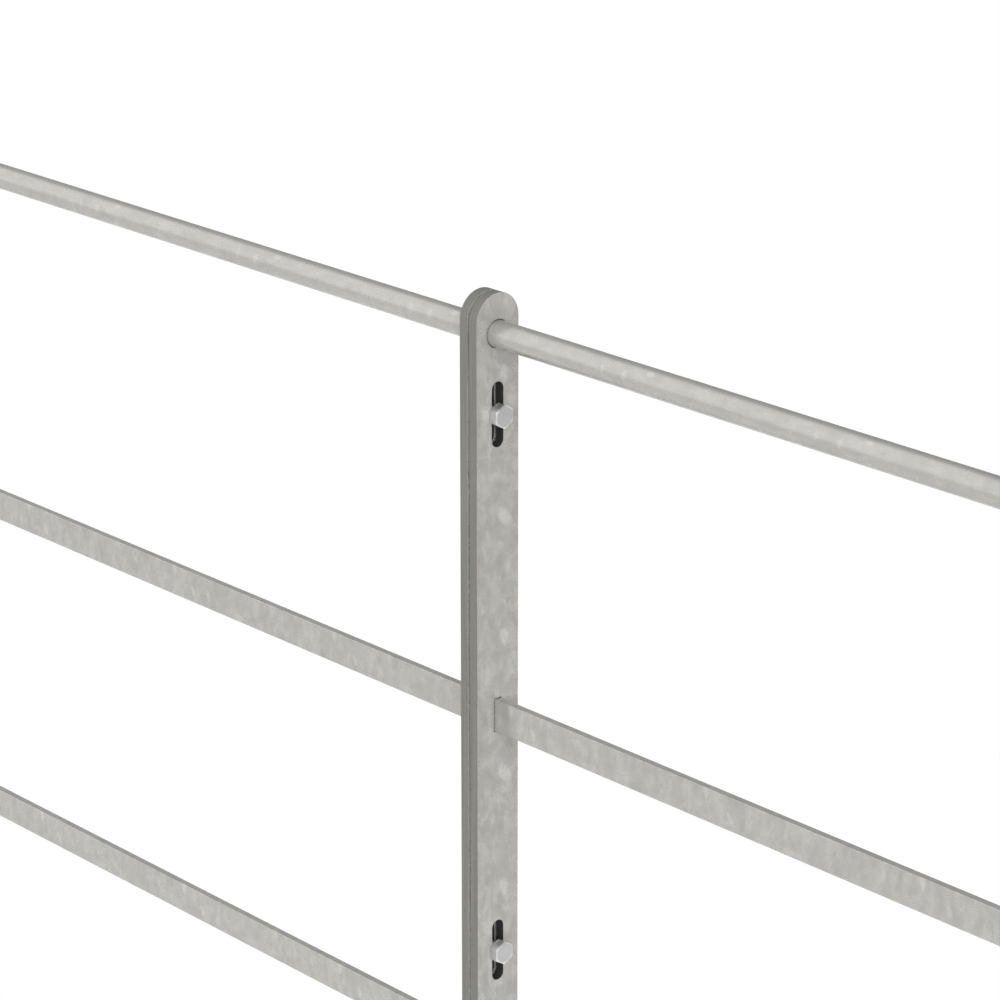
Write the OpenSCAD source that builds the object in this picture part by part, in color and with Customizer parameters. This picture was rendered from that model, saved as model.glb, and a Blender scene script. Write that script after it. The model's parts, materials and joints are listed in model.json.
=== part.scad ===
// Estate fence of welded flat bar with a round top rail: two sections bolted post to post.
// Millimetres, +Z up, +X along the fence. The origin is the centre of the foot of the
// right section's joint post, at ground level.

/* [Fence layout] */
// Distance between the centre planes of neighbouring uprights
bay_pitch = 1000; // [600:10:1500]
// Gap between the two joint posts where the sections meet
joint_gap = 2; // [1:0.5:6]

/* [Posts and uprights] */
// Height of the rounded post tops above the ground
post_height = 1200; // [1100:10:1400]
// Width of the post bar across the fence
post_width = 40; // [36:1:50]
// Thickness of the post bar along the fence
post_thick = 8; // [6:1:12]
// Chamfer on the long edges of the post bar
post_edge = 0.3; // [0.2:0.1:1]

/* [Rails] */
// Drop from the post tops to the round top rail's axis
top_rail_drop = 30; // [26:1:40]
// Height of the lowest rail's middle above the ground
low_rail_height = 130; // [100:5:160]
// Share of the rise from the lowest to the top rail that lies between rails 1 and 2
gap_share_1 = 29; // [26:1:32]
// Share of that rise between rails 2 and 3
gap_share_2 = 28; // [25:1:31]
// Share of that rise between rails 3 and 4
gap_share_3 = 25; // [22:1:28]
// Share of that rise between rails 4 and 5
gap_share_4 = 22; // [20:1:25]
// Diameter of the round top rail
round_rail_d = 20; // [16:1:22]
// Height of the flat rail bar
flat_rail_height = 25; // [20:1:30]
// Thickness of the flat rail bar
flat_rail_thick = 6; // [5:1:8]
// Chamfer on the long edges of the flat rails and the ends of the round one
rail_edge = 0.5; // [0.2:0.1:0.8]
// Gap round a rail in the open part of its hole
rail_hole_gap = 0.5; // [0.2:0.05:0.6]
// Depth of the welded seat where a rail fills its hole without a gap
rail_seat = 2; // [1:0.5:4]

/* [Coupling slots] */
// Width of the coupling slots
slot_width = 11; // [10.5:0.5:12]
// Length of the coupling slots, end to end
slot_length = 49; // [30:1:60]
// Steel left between the top rail's hole and the top slot
slot_1_margin = 25.5; // [15:0.5:40]
// Steel left between the third rail and the middle slot above it
slot_2_margin = 53; // [30:0.5:100]
// Steel left between the fifth rail and the bottom slot above it
slot_3_margin = 103; // [60:0.5:105]

/* [Coupling bolts] */
// Shank diameter of the coupling bolts
bolt_d = 10; // [8:1:10]
// Length of the bolt shank under the head
bolt_length = 35; // [32:1:60]
// Width across the flats of the head and the nut
hex_flats = 16; // [15:1:17]
// Diameter of the flat face inside the turned chamfer of head and nut
hex_face_d = 14.8; // [13:0.1:15.5]
// Slope of that chamfer against the face, in degrees
hex_slope = 30; // [15:1:35]
// Height of the bolt head
head_height = 6.4; // [5:0.1:8]
// Height of the nut
nut_height = 8.4; // [7:0.1:10]
// Outer diameter of the plain washer
washer_d = 20; // [18:1:24]
// Thickness of the plain washer
washer_thick = 2; // [1.5:0.1:3]
// Clearance between the bolt shank and the washer's bore
washer_gap = 0.25; // [0.1:0.05:0.5]

/* [Hidden] */
$fn = 96;
cut = 1;
half_post = post_thick / 2;
round_top_z = post_height - post_width / 2;
rail_reach = half_post + joint_gap / 2;
joint_x = -rail_reach;
left_post_x = -post_thick - joint_gap;
right_span = 2 * bay_pitch;
rail_length = right_span + 2 * rail_reach;
rail_1_height = post_height - top_rail_drop;
gap_unit = (rail_1_height - low_rail_height) / (gap_share_1 + gap_share_2 + gap_share_3 + gap_share_4);
rail_2_height = rail_1_height - gap_unit * gap_share_1;
rail_3_height = rail_2_height - gap_unit * gap_share_2;
rail_4_height = rail_3_height - gap_unit * gap_share_3;
rail_5_height = low_rail_height;
slot_1_height = rail_1_height - round_rail_d / 2 - slot_1_margin - slot_length / 2;
slot_2_height = rail_3_height + flat_rail_height / 2 + slot_2_margin + slot_length / 2;
slot_3_height = rail_5_height + flat_rail_height / 2 + slot_3_margin + slot_length / 2;
head_x = half_post;
washer_x = left_post_x - half_post;
nut_x = washer_x - washer_thick;
hex_corners = hex_flats / cos(30);
hex_chamfer = (hex_corners - hex_face_d) / 2 * tan(hex_slope);
shank_chamfer = 1;
galvanised = [0.66, 0.67, 0.66];
plated = [0.74, 0.76, 0.80];

// The post bar with chamfered edges and a full round top, standing on the ground.
module post_blank() {
  linear_extrude(height = round_top_z)
    polygon([
      [half_post - post_edge, -post_width / 2],
      [half_post, -post_width / 2 + post_edge],
      [half_post, post_width / 2 - post_edge],
      [half_post - post_edge, post_width / 2],
      [-half_post + post_edge, post_width / 2],
      [-half_post, post_width / 2 - post_edge],
      [-half_post, -post_width / 2 + post_edge],
      [-half_post + post_edge, -post_width / 2]
    ]);
  translate([0, 0, round_top_z])
    rotate([90, 0, 90])
      rotate_extrude(angle = 180)
        polygon([
          [0, -half_post],
          [post_width / 2 - post_edge, -half_post],
          [post_width / 2, -half_post + post_edge],
          [post_width / 2, half_post - post_edge],
          [post_width / 2 - post_edge, half_post],
          [0, half_post]
        ]);
}

// The round hole for the top rail, from one face in to a given depth with a gap all round.
module round_hole(x0, x1, gap) {
  translate([x0, 0, rail_1_height])
    rotate([0, 90, 0])
      cylinder(d = round_rail_d + 2 * gap, h = x1 - x0);
}

// A flat rail's hole between two planes, with a gap on all four sides.
module flat_hole(x0, x1, height, gap) {
  translate([x0, -flat_rail_thick / 2 - gap, height - flat_rail_height / 2 - gap])
    cube([x1 - x0, flat_rail_thick + 2 * gap, flat_rail_height + 2 * gap]);
}

// All five rail holes between two planes.
module rail_holes(x0, x1, gap) {
  round_hole(x0, x1, gap);
  flat_hole(x0, x1, rail_2_height, gap);
  flat_hole(x0, x1, rail_3_height, gap);
  flat_hole(x0, x1, rail_4_height, gap);
  flat_hole(x0, x1, rail_5_height, gap);
}

// One upright slot with round ends through the thickness of a post.
module slot(height) {
  reach = (slot_length - slot_width) / 2;
  translate([-half_post - cut, -slot_width / 2, height - reach])
    cube([post_thick + 2 * cut, slot_width, 2 * reach]);
  for (side = [-1, 1])
    translate([-half_post - cut, 0, height + side * reach])
      rotate([0, 90, 0])
        cylinder(d = slot_width, h = post_thick + 2 * cut);
}

// The three coupling slots of an end post.
module slots() {
  slot(slot_1_height);
  slot(slot_2_height);
  slot(slot_3_height);
}

// An end post whose rails come in from the +X side and are seated at its -X face.
module end_post_in_plus() {
  color(galvanised)
    difference() {
      post_blank();
      rail_holes(-half_post - cut, half_post + cut, 0);
      rail_holes(-half_post + rail_seat, half_post + cut, rail_hole_gap);
      slots();
    }
}

// An end post whose rails come in from the -X side and are seated at its +X face.
module end_post_in_minus() {
  color(galvanised)
    difference() {
      post_blank();
      rail_holes(-half_post - cut, half_post + cut, 0);
      rail_holes(-half_post - cut, half_post - rail_seat, rail_hole_gap);
      slots();
    }
}

// An upright in the middle of a section: the rails run through and are seated inside it.
module mid_upright() {
  color(galvanised)
    difference() {
      post_blank();
      rail_holes(-half_post - cut, half_post + cut, 0);
      rail_holes(-half_post - cut, -rail_seat / 2, rail_hole_gap);
      rail_holes(rail_seat / 2, half_post + cut, rail_hole_gap);
    }
}

// The round top rail of one section, from its -X end at x = 0.
module round_rail() {
  color(galvanised)
    translate([0, 0, rail_1_height])
      rotate([0, 90, 0])
        rotate_extrude()
          polygon([
            [0, 0],
            [round_rail_d / 2 - rail_edge, 0],
            [round_rail_d / 2, rail_edge],
            [round_rail_d / 2, rail_length - rail_edge],
            [round_rail_d / 2 - rail_edge, rail_length],
            [0, rail_length]
          ]);
}

// One flat rail of a section, from its -X end at x = 0.
module flat_rail(height) {
  color(galvanised)
    translate([0, 0, height])
      rotate([90, 0, 90])
        linear_extrude(height = rail_length)
          polygon([
            [flat_rail_thick / 2 - rail_edge, -flat_rail_height / 2],
            [flat_rail_thick / 2, -flat_rail_height / 2 + rail_edge],
            [flat_rail_thick / 2, flat_rail_height / 2 - rail_edge],
            [flat_rail_thick / 2 - rail_edge, flat_rail_height / 2],
            [-flat_rail_thick / 2 + rail_edge, flat_rail_height / 2],
            [-flat_rail_thick / 2, flat_rail_height / 2 - rail_edge],
            [-flat_rail_thick / 2, -flat_rail_height / 2 + rail_edge],
            [-flat_rail_thick / 2 + rail_edge, -flat_rail_height / 2]
          ]);
}

// The turned outline that takes the corners off a hexagon at its outer face, or at both faces.
module hex_turning(height, both_faces) {
  plain_foot = [[0, 0], [hex_corners / 2, 0]];
  turned_foot = [[0, 0], [hex_face_d / 2, 0], [hex_corners / 2, hex_chamfer]];
  top = [[hex_corners / 2, height - hex_chamfer], [hex_face_d / 2, height], [0, height]];
  rotate_extrude()
    polygon(concat(both_faces ? turned_foot : plain_foot, top));
}

// A hexagon bar along +X with flats at its sides.
module hex_bar(height, both_faces) {
  rotate([0, 90, 0])
    intersection() {
      cylinder(d = hex_corners, h = height, $fn = 6);
      hex_turning(height, both_faces);
    }
}

// A coupling bolt in the middle of a slot, its head on the right post's open face.
module coupling_bolt(height) {
  color(plated)
    translate([head_x, 0, height]) {
      hex_bar(head_height, false);
      translate([-bolt_length, 0, 0])
        rotate([0, 90, 0])
          rotate_extrude()
            polygon([
              [0, 0],
              [bolt_d / 2 - shank_chamfer, 0],
              [bolt_d / 2, shank_chamfer],
              [bolt_d / 2, bolt_length],
              [0, bolt_length]
            ]);
    }
}

// The washer under a coupling nut, on the left post's open face.
module coupling_washer(height) {
  color(plated)
    translate([washer_x - washer_thick, 0, height])
      rotate([0, 90, 0])
        difference() {
          cylinder(d = washer_d, h = washer_thick);
          translate([0, 0, -cut])
            cylinder(d = bolt_d + 2 * washer_gap, h = washer_thick + 2 * cut);
        }
}

// A coupling nut, turned as it was tightened, its bore filled by the bolt's threaded shank.
module coupling_nut(height, turn) {
  color(plated)
    translate([nut_x - nut_height, 0, height])
      rotate([turn, 0, 0])
        difference() {
          hex_bar(nut_height, true);
          translate([-cut, 0, 0])
            rotate([0, 90, 0])
              cylinder(d = bolt_d, h = nut_height + 2 * cut);
        }
}

module right_joint_post() {
  end_post_in_plus();
}

module right_mid_upright() {
  translate([bay_pitch, 0, 0])
    mid_upright();
}

module right_end_post() {
  translate([right_span, 0, 0])
    end_post_in_minus();
}

module right_rail_1() {
  translate([joint_x, 0, 0])
    round_rail();
}

module right_rail_2() {
  translate([joint_x, 0, 0])
    flat_rail(rail_2_height);
}

module right_rail_3() {
  translate([joint_x, 0, 0])
    flat_rail(rail_3_height);
}

module right_rail_4() {
  translate([joint_x, 0, 0])
    flat_rail(rail_4_height);
}

module right_rail_5() {
  translate([joint_x, 0, 0])
    flat_rail(rail_5_height);
}

module left_joint_post() {
  translate([left_post_x, 0, 0])
    end_post_in_minus();
}

module left_mid_upright() {
  translate([left_post_x - bay_pitch, 0, 0])
    mid_upright();
}

module left_end_post() {
  translate([left_post_x - right_span, 0, 0])
    end_post_in_plus();
}

module left_rail_1() {
  translate([joint_x - rail_length, 0, 0])
    round_rail();
}

module left_rail_2() {
  translate([joint_x - rail_length, 0, 0])
    flat_rail(rail_2_height);
}

module left_rail_3() {
  translate([joint_x - rail_length, 0, 0])
    flat_rail(rail_3_height);
}

module left_rail_4() {
  translate([joint_x - rail_length, 0, 0])
    flat_rail(rail_4_height);
}

module left_rail_5() {
  translate([joint_x - rail_length, 0, 0])
    flat_rail(rail_5_height);
}

module coupling_bolt_1() {
  coupling_bolt(slot_1_height);
}

module coupling_bolt_2() {
  coupling_bolt(slot_2_height);
}

module coupling_bolt_3() {
  coupling_bolt(slot_3_height);
}

module coupling_washer_1() {
  coupling_washer(slot_1_height);
}

module coupling_washer_2() {
  coupling_washer(slot_2_height);
}

module coupling_washer_3() {
  coupling_washer(slot_3_height);
}

module coupling_nut_1() {
  coupling_nut(slot_1_height, 14);
}

module coupling_nut_2() {
  coupling_nut(slot_2_height, 22);
}

module coupling_nut_3() {
  coupling_nut(slot_3_height, 5);
}

right_joint_post();
right_mid_upright();
right_end_post();
right_rail_1();
right_rail_2();
right_rail_3();
right_rail_4();
right_rail_5();
left_joint_post();
left_mid_upright();
left_end_post();
left_rail_1();
left_rail_2();
left_rail_3();
left_rail_4();
left_rail_5();
coupling_bolt_1();
coupling_bolt_2();
coupling_bolt_3();
coupling_washer_1();
coupling_washer_2();
coupling_washer_3();
coupling_nut_1();
coupling_nut_2();
coupling_nut_3();
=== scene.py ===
import json
import math

import bpy
import numpy as np
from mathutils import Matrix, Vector


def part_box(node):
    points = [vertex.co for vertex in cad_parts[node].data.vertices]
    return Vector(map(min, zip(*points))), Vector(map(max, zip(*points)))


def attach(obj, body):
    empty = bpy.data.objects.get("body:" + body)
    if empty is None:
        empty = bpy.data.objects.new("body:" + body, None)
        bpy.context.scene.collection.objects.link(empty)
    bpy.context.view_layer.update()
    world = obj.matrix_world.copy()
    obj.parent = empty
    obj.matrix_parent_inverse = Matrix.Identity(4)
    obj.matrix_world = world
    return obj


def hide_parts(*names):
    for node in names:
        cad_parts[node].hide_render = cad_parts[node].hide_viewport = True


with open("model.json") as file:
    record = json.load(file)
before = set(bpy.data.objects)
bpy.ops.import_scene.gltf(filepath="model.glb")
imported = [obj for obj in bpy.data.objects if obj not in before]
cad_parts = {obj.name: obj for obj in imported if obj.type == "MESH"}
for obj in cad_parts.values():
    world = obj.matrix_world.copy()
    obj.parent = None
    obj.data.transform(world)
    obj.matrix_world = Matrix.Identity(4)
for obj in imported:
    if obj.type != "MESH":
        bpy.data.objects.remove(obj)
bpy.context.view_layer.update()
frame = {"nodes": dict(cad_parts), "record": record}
print("frame loaded:", len(frame["nodes"]), "nodes")

mm = 0.001


# The height of a node's middle, in millimetres.
def middleHeight(node):
    lo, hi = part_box(node)
    return (lo.z + hi.z) / 2 / mm


railHeights = {k: middleHeight(f"right_rail_{k}") for k in range(1, 6)}
boltHeights = [middleHeight(f"coupling_washer_{k}") for k in (1, 2, 3)]
flatLo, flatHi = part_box("right_rail_2")
flatSize = ((flatHi.y - flatLo.y) / mm, (flatHi.z - flatLo.z) / mm)
roundLo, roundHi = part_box("right_rail_1")
roundRadius, jointX = (roundHi.z - roundLo.z) / 2 / mm, roundLo.x / mm
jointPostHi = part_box("right_joint_post")[1]
postFace, postHalf, postTop = (value / mm for value in jointPostHi)
slotMounts = [mount for mount in frame["record"]["mounts"] if mount["kind"] == "bolt_pattern"]
slotSize = (2 * slotMounts[0]["dims"]["hole_r_mm"], slotMounts[0]["dims"]["slot_length_mm"])

meshing = {
    "weldSteps": 1e7,    # steps in a metre: vertices that round to the same step are one
    "sharp": 38.0,       # edges of a wider angle than this stay sharp
}


# A grid of points (rows, columns, 3) becomes quads. A closed grid joins its last row or column to its first.
def gridQuads(rows, columns, offset, closeRows=False, closeColumns=False):
    rowCount = rows if closeRows else rows - 1
    columnCount = columns if closeColumns else columns - 1
    i, j = np.meshgrid(np.arange(rowCount), np.arange(columnCount), indexing="ij")
    nextI, nextJ = (i + 1) % rows, (j + 1) % columns
    corners = [i * columns + j, i * columns + nextJ, nextI * columns + nextJ, nextI * columns + j]
    return np.stack(corners, -1).reshape(-1, 4) + offset


# Joins patches into one mesh. Each patch is a dictionary with its points, which way it closes and its marks.
def meshFromPatches(name, patches, material, marks=()):
    points, quads, values, offset = [], [], {mark: [] for mark in marks}, 0
    for patch in patches:
        grid = patch["points"]
        rows, columns = grid.shape[:2]
        closed = patch.get("closeRows", False), patch.get("closeColumns", False)
        faces = gridQuads(rows, columns, offset, *closed)
        quads.append(faces[:, ::-1] if patch.get("flip") else faces)
        points.append(grid.reshape(-1, 3))
        for mark in marks:
            values[mark].append(np.broadcast_to(patch.get(mark, 0.0), (rows, columns)).reshape(-1))
        offset += rows * columns
    points, quads = np.concatenate(points) * mm, np.concatenate(quads)
    # points that patches share become one vertex, and quads that close up become triangles
    keys = np.round(points * meshing["weldSteps"]).astype(np.int64)
    first, inverse = np.unique(keys, axis=0, return_index=True, return_inverse=True)[1:]
    quads = inverse.reshape(-1)[quads]
    quads = quads[(quads[:, 0] != quads[:, 2]) & (quads[:, 1] != quads[:, 3])]
    faces = [list(dict.fromkeys(face)) for face in quads.tolist()]
    faces = [face for face in faces if len(face) > 2]
    mesh = bpy.data.meshes.new(name)
    mesh.from_pydata(points[first].tolist(), [], faces)
    for mark in marks:
        attribute = mesh.attributes.new(mark, "FLOAT", "POINT")
        attribute.data.foreach_set("value", np.concatenate(values[mark])[first].astype(np.float32))
    mesh.polygons.foreach_set("use_smooth", np.ones(len(mesh.polygons), bool))
    mesh.set_sharp_from_angle(angle=math.radians(meshing["sharp"]))
    mesh.materials.append(material)
    mesh.validate()
    piece = bpy.data.objects.new(name, mesh)
    bpy.context.scene.collection.objects.link(piece)
    return piece


# Rounds the corners of polylines (..., corner, 2): each corner becomes a short parabola that starts and ends
# reach away from it, or farthest times the way to its nearer neighbour where that is less.
def roundCorners(line, reach, steps=4, farthest=0.45):
    parts = [line[..., :1, :]]
    t = np.linspace(0, 1, steps + 1)[:, None]
    for k in range(1, line.shape[-2] - 1):
        corner, before, after = line[..., k, :], line[..., k - 1, :], line[..., k + 1, :]
        toBefore, toAfter = before - corner, after - corner
        lengthBefore = np.linalg.norm(toBefore, axis=-1, keepdims=True)
        lengthAfter = np.linalg.norm(toAfter, axis=-1, keepdims=True)
        cut = np.minimum(reach[k], farthest * np.minimum(lengthBefore, lengthAfter))
        start = (corner + toBefore / lengthBefore * cut)[..., None, :]
        end = (corner + toAfter / lengthAfter * cut)[..., None, :]
        middle = corner[..., None, :]
        parts.append((1 - t) ** 2 * start + 2 * t * (1 - t) * middle + t**2 * end)
    parts.append(line[..., -1:, :])
    return np.concatenate(parts, -2)


# Adds one node, sets its properties, and fills its sockets with values or links.
def put(tree, kind, inputs=None, **properties):
    node = tree.nodes.new(kind)
    for key, value in properties.items():
        setattr(node, key, value)
    for key, value in (inputs or {}).items():
        if isinstance(value, bpy.types.NodeSocket):
            tree.links.new(value, node.inputs[key])
        else:
            node.inputs[key].default_value = value
    return node


# The result of a Math node. Only MULTIPLY_ADD reads the third value.
def mathNode(tree, operation, first, second=0.0, third=0.0, clamp=False):
    inputs = {0: first, 1: second, 2: third}
    return put(tree, "ShaderNodeMath", inputs, operation=operation, use_clamp=clamp).outputs[0]


# The result of a Vector Math node, which is a value for LENGTH and DOT_PRODUCT.
def vectorNode(tree, operation, first, second=None):
    inputs = {0: first}
    if second is not None:
        inputs["Scale" if operation == "SCALE" else 1] = second
    node = put(tree, "ShaderNodeVectorMath", inputs, operation=operation)
    return node.outputs["Value" if operation in ("LENGTH", "DOT_PRODUCT") else "Vector"]


def mapRange(tree, value, low, high, toLow=0.0, toHigh=1.0, smooth=True):
    node = put(tree, "ShaderNodeMapRange", {"Value": value, "From Min": low, "From Max": high,
                                            "To Min": toLow, "To Max": toHigh})
    node.interpolation_type = "SMOOTHSTEP" if smooth else "LINEAR"
    node.clamp = True
    return node.outputs["Result"]


def mixValue(tree, factor, first, second):
    return put(tree, "ShaderNodeMix", {0: factor, 2: first, 3: second}, data_type="FLOAT").outputs[0]


def mixColour(tree, factor, first, second):
    node = put(tree, "ShaderNodeMix", {"Factor": factor}, data_type="RGBA")
    for socket, value in ((node.inputs[6], first), (node.inputs[7], second)):
        if isinstance(value, bpy.types.NodeSocket):
            tree.links.new(value, socket)
        else:
            socket.default_value = (*value, 1.0)
    return node.outputs[2]


# Painted light: the colour, times gain where the mask is 1.
def paintLightGain(tree, mask, colour, gain):
    return mixColour(tree, mask, colour, vectorNode(tree, "SCALE", colour, gain))


# A mark that a mesh carries at its points.
def meshMark(tree, name):
    return put(tree, "ShaderNodeAttribute", attribute_name=name).outputs["Fac"]


# A new material with an empty node tree.
def newMaterial(name):
    material = bpy.data.materials.new(name)
    material.use_nodes = True
    material.node_tree.nodes.clear()
    return material, material.node_tree


# Opens a node group with the named sockets, and returns it with its two end nodes.
def newGroup(name, inputs, outputs):
    group = bpy.data.node_groups.new(name, "ShaderNodeTree")
    for label, kind, value in inputs:
        socket = group.interface.new_socket(label, in_out="INPUT", socket_type=kind)
        if value is not None:
            socket.default_value = value
    for label, kind in outputs:
        group.interface.new_socket(label, in_out="OUTPUT", socket_type=kind)
    return group, put(group, "NodeGroupInput"), put(group, "NodeGroupOutput")


zincGrain = {
    "cloudScale": 62.0,              # noise cells per metre
    "cloudNoise": {"Detail": 5.0, "Roughness": 0.65, "Distortion": 0.9},
    "streakScale": 190.0,
    "streakNoise": {"Detail": 1.5, "Roughness": 0.5, "Distortion": 0.4},
    "low": 0.25,                     # noise that becomes 0
    "high": 0.75,                    # noise that becomes 1
    "cloudShare": 0.55,              # shares of clouds and streaks in the tone of a bar
    "streakShare": 0.45,
    "fleckNoise": {"Scale": 0.22, "Detail": 2.0},
    "leastWidth": 0.1,               # share of its width that a tapering fleck keeps, at least
    "fleckWave": 1.1,                # how far noise moves a fleck's outline, in its half sizes
    "fleckInside": 1.2,              # a fleck is whole up to here
    "fleckOutside": 1.7,             # and gone from here on
    "skinNoise": {"Scale": 60.0, "Detail": 0.0},
    "skinHeight": 0.0006,            # height of the skin's waves in metres
    "skinStrength": 0.06,
}


# Soft zinc mottling, 0 to 1 about 0.5: broad clouds and finer streaks, both from noise, the streaks drawn out
# by Stretch.
def zincCloudsGroup():
    grain = zincGrain
    group, given, result = newGroup(
        "zincClouds",
        [("Vector", "NodeSocketVector", None), ("Cloud Scale", "NodeSocketFloat", grain["cloudScale"]),
         ("Streak Scale", "NodeSocketFloat", grain["streakScale"]),
         ("Stretch", "NodeSocketVector", (1.0, 1.0, 0.35))],
        [("Clouds", "NodeSocketFloat"), ("Streaks", "NodeSocketFloat")])
    place = given.outputs["Vector"]
    stretched = vectorNode(group, "MULTIPLY", place, given.outputs["Stretch"])
    clouds = put(group, "ShaderNodeTexNoise",
                 {"Vector": place, "Scale": given.outputs["Cloud Scale"], **grain["cloudNoise"]})
    streaks = put(group, "ShaderNodeTexNoise",
                  {"Vector": stretched, "Scale": given.outputs["Streak Scale"], **grain["streakNoise"]})
    for noise, label in ((clouds, "Clouds"), (streaks, "Streaks")):
        spread = mapRange(group, noise.outputs["Fac"], grain["low"], grain["high"])
        group.links.new(spread, result.inputs[label])
    return group


# One pale fleck: the place less its middle, turned and divided by its half sizes, narrower below where it
# tapers, is inside an outline that noise makes wavy.
def zincFleckGroup():
    grain = zincGrain
    group, given, result = newGroup(
        "zincFleck",
        [("Place", "NodeSocketVector", None), ("Middle", "NodeSocketVector", (0.0, 0.0, 0.0)),
         ("Half", "NodeSocketVector", (5.0, 5.0, 1.0)), ("Turn", "NodeSocketFloat", 0.0),
         ("Taper", "NodeSocketFloat", 0.0), ("Paleness", "NodeSocketFloat", 1.0)],
        [("Mask", "NodeSocketFloat")])
    place = given.outputs["Place"]
    offset = vectorNode(group, "SUBTRACT", place, given.outputs["Middle"])
    turned = put(group, "ShaderNodeVectorRotate", {"Vector": offset, "Angle": given.outputs["Turn"]},
                 rotation_type="Z_AXIS")
    scaled = vectorNode(group, "DIVIDE", turned.outputs[0], given.outputs["Half"])
    split = put(group, "ShaderNodeSeparateXYZ", {0: scaled})
    narrowing = mathNode(group, "MULTIPLY_ADD", split.outputs[1], given.outputs["Taper"], 1.0)
    narrowing = mathNode(group, "MAXIMUM", narrowing, grain["leastWidth"])
    across = mathNode(group, "DIVIDE", split.outputs[0], narrowing)
    rounded = put(group, "ShaderNodeCombineXYZ", {0: across, 1: split.outputs[1], 2: 0.0})
    distance = vectorNode(group, "LENGTH", rounded.outputs[0])
    wave = put(group, "ShaderNodeTexNoise", {"Vector": place, **grain["fleckNoise"]})
    wavy = mathNode(group, "MULTIPLY_ADD", wave.outputs["Fac"], grain["fleckWave"], distance)
    inside = mapRange(group, wavy, grain["fleckInside"], grain["fleckOutside"], 1.0, 0.0)
    group.links.new(mathNode(group, "MULTIPLY", inside, given.outputs["Paleness"]), result.inputs["Mask"])
    return group


# The gently uneven skin of dipped zinc: broad noise as a bump, given out as a normal.
def zincSkinGroup():
    grain = zincGrain
    group, given, result = newGroup(
        "zincSkin",
        [("Vector", "NodeSocketVector", None), ("Strength", "NodeSocketFloat", grain["skinStrength"])],
        [("Normal", "NodeSocketVector")])
    broad = put(group, "ShaderNodeTexNoise", {"Vector": given.outputs["Vector"], **grain["skinNoise"]})
    bump = put(group, "ShaderNodeBump",
               {"Height": broad.outputs["Fac"], "Strength": given.outputs["Strength"],
                "Distance": grain["skinHeight"]})
    group.links.new(bump.outputs["Normal"], result.inputs["Normal"])
    return group


groups = {"clouds": zincCloudsGroup(), "fleck": zincFleckGroup(), "skin": zincSkinGroup()}

galvanisedLook = {
    "pale": (0.62, 0.613, 0.575),       # the lightest flecks
    "body": (0.440, 0.434, 0.407),      # the wide faces
    "dark": (0.375, 0.370, 0.347),      # the darkest clouds
    "narrow": (0.206, 0.204, 0.187),    # the narrow sides of the posts
    "hole": (0.019, 0.019, 0.018),      # painted shade: the walls and rims of punched holes, near black
    "metallic": 0.40,
    "roughness": 0.28,
    "roughnessSpread": 0.04,            # dark clouds are this much rougher, pale ones this much smoother
    "narrowMetallic": 0.0,
    "narrowRoughness": 0.9,
    "sideStreak": (420.0, 10.0, 10.0),  # noise cells per metre on the narrow sides, fine along the fence
    "sideNoise": {"Scale": 1.0, "Detail": 1.0},
    "sideLow": 0.3,                     # noise at which a streak is darkest
    "sideHigh": 0.7,                    # noise at which it is palest
    "sideTones": (0.92, 1.08),
    "paintedTopLightGain": 1.1,                     # painted light: the tops of the flat rails are a little brighter, as if more light fell on them
    "topLightFrom": 14.0,                    # the mark high is less than this on their faces
    "topLightTo": 30.0,                      # and more than this on their tops
    "repeat": 200.0,                    # the zinc's pattern comes again after this length of bar
    "joint": {                          # painted light: the faces that meet in the gap at the joint are brighter too, as if more light reached into the gap
        "from": -6.06,                  # places along the fence, just inside both posts
        "to": -3.94,
        "soft": 0.05,
        "rim": 1.2,                     # the gain fades out over this width along the bar's edges
        "gain": 1.28,
    },
}

# Pale flecks of one repeat, in millimetres. On posts the first place is across the bar and the second down
# from the top. On rails the first is along the bar and the second up from its middle, round the bar on round
# ones.
postFlecks = [
    {"middle": (6.3, 60.0), "half": (4.6, 7.2), "turn": 10.0, "paleness": 0.62},
    {"middle": (14.0, 80.0), "half": (5.0, 9.5), "paleness": 0.22},
    {"middle": (-11.0, 88.0), "half": (6.0, 8.0), "turn": 30.0, "paleness": 0.40},
    {"middle": (-13.5, 99.0), "half": (5.5, 6.0), "paleness": 0.25},
    {"middle": (-8.0, 121.0), "half": (1.8, 15.0), "paleness": 0.34},
    {"middle": (-1.0, 137.0), "half": (8.0, 3.6), "paleness": 0.27},
    {"middle": (17.0, 132.0), "half": (3.4, 5.0), "turn": 20.0, "paleness": 0.33},
    {"middle": (6.8, 168.5), "half": (5.2, 9.2), "turn": 38.0, "paleness": 0.72},
    {"middle": (4.8, 180.5), "half": (2.0, 3.6), "paleness": 0.33},
    {"middle": (2.5, 188.5), "half": (3.0, 2.4), "paleness": 0.34},
    {"middle": (11.5, 11.0), "half": (4.0, 9.0), "turn": 25.0, "paleness": 0.21},
    {"middle": (10.0, 91.0), "half": (5.0, 6.5), "turn": -20.0, "paleness": 0.25},
]
flatFlecks = [
    {"middle": (26.5, 8.5), "half": (2.6, 6.0), "taper": 0.8, "paleness": 0.42},
    {"middle": (50.0, -3.0), "half": (2.6, 4.2), "turn": -20.0, "paleness": 0.40},
    {"middle": (70.0, -2.5), "half": (2.2, 4.0), "paleness": 0.22},
    {"middle": (110.0, -9.0), "half": (9.0, 2.4), "paleness": 0.21},
    {"middle": (192.0, 3.0), "half": (2.0, 5.0), "paleness": 0.21},
]
roundFlecks = [
    {"middle": (170.0, 9.3), "half": (3.6, 2.2), "paleness": 0.40},
    {"middle": (147.0, 2.7), "half": (2.6, 3.8), "turn": 15.0, "paleness": 0.34},
    {"middle": (126.0, 2.7), "half": (1.8, 4.4), "paleness": 0.25},
    {"middle": (170.5, -6.0), "half": (3.6, 2.0), "paleness": 0.35},
]

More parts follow.
